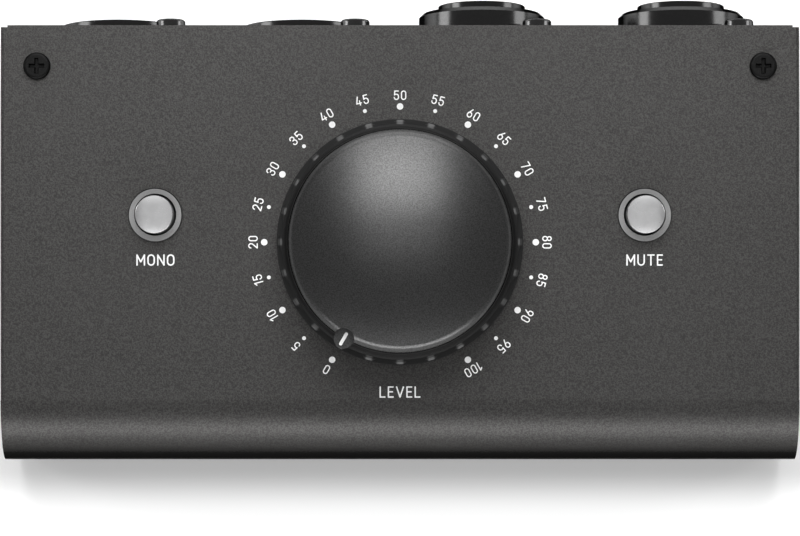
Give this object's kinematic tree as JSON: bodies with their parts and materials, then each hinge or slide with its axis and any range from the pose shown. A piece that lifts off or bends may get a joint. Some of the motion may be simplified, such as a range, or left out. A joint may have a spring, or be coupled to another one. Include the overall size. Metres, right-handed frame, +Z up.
{
  "type": "studio monitor controller",
  "caption": "Desktop monitor controller: folded steel case with sloped top, large level knob over a dial, two push buttons, rear XLR, combined and mini jack sockets.",
  "frame": {"origin": "middle of the footprint, on the plane of the feet", "axes": "+X to the right as the user sees it, +Y to the rear connectors, +Z up"},
  "size_m": [0.1424, 0.0832, 0.066],
  "materials": {
    "cover_paint": "fine textured dark grey powder coat",
    "chassis_paint": "satin black powder coat",
    "foot_rubber": "matt black rubber",
    "black_screw": "black oxide",
    "zinc_screw": "zinc plated",
    "knob_plastic": "black soft touch",
    "pointer_white": "white",
    "brass": "turned",
    "pot_case": "zinc plated steel",
    "phenolic": "brown phenolic",
    "black_plastic": "moulded",
    "button_silver": "satin plated",
    "bezel_grey": "grey",
    "connector_black": "glossy black nylon",
    "pin_silver": "plated",
    "board_green": "solder mask",
    "spring_steel": "bare",
    "ribbon_grey": "grey"
  },
  "bodies": {
    "case": {"top_cover": "cover_paint", "base_chassis": "chassis_paint", "rubber_feet": "foot_rubber", "cover_screws": "black_screw", "base_screws": "black_screw", "connector_screws": "black_screw", "pot_housing": "pot_case", "pot_bushing": "brass", "pot_washer": "zinc_screw", "pot_nut": "zinc_screw", "pot_tracks": "phenolic", "pot_lugs": "pin_silver", "main_board": "board_green", "rear_board": "board_green", "board_standoffs": "zinc_screw", "board_screws": "zinc_screw", "ribbon_headers": "black_plastic", "ribbon_cable": "ribbon_grey", "aux_jack": "connector_black", "aux_contacts": "pin_silver", "mono_bezel": "bezel_grey", "mono_switch_housing": "black_plastic", "mono_switch_base": "black_plastic", "mono_spring": "spring_steel", "mute_bezel": "bezel_grey", "mute_switch_housing": "black_plastic", "mute_switch_base": "black_plastic", "mute_spring": "spring_steel", "xlr_output_left_housing": "connector_black", "xlr_output_left_pins": "pin_silver", "xlr_output_right_housing": "connector_black", "xlr_output_right_pins": "pin_silver", "combo_input_left_housing": "connector_black", "combo_input_left_insert": "connector_black", "combo_input_left_contacts": "pin_silver", "combo_input_right_housing": "connector_black", "combo_input_right_insert": "connector_black", "combo_input_right_contacts": "pin_silver"},
    "knob": {"volume_knob": "knob_plastic", "knob_pointer": "pointer_white", "knob_insert": "brass", "pot_shaft": "zinc_screw", "pot_wipers": "black_plastic"},
    "mono_key": {"mono_button": "button_silver", "mono_plunger": "black_plastic"},
    "mute_key": {"mute_button": "button_silver", "mute_plunger": "black_plastic"}
  },
  "joints": [
    {"name": "knob_turn", "type": "hinge", "parent": "case", "child": "knob", "pos_m": [0, -0.00358, 0.04363], "axis": [0, -0.0872, 0.9962], "range_deg": [-300, 0]},
    {"name": "mono_press", "type": "slide", "parent": "case", "child": "mono_key", "axis": [0, -0.0872, 0.9962], "range_m": [-0.0025, 0], "stiffness_N_per_m": 800, "deforming": ["mono_spring"]},
    {"name": "mute_press", "type": "slide", "parent": "case", "child": "mute_key", "axis": [0, -0.0872, 0.9962], "range_m": [-0.0025, 0], "stiffness_N_per_m": 800, "deforming": ["mute_spring"]}
  ]
}
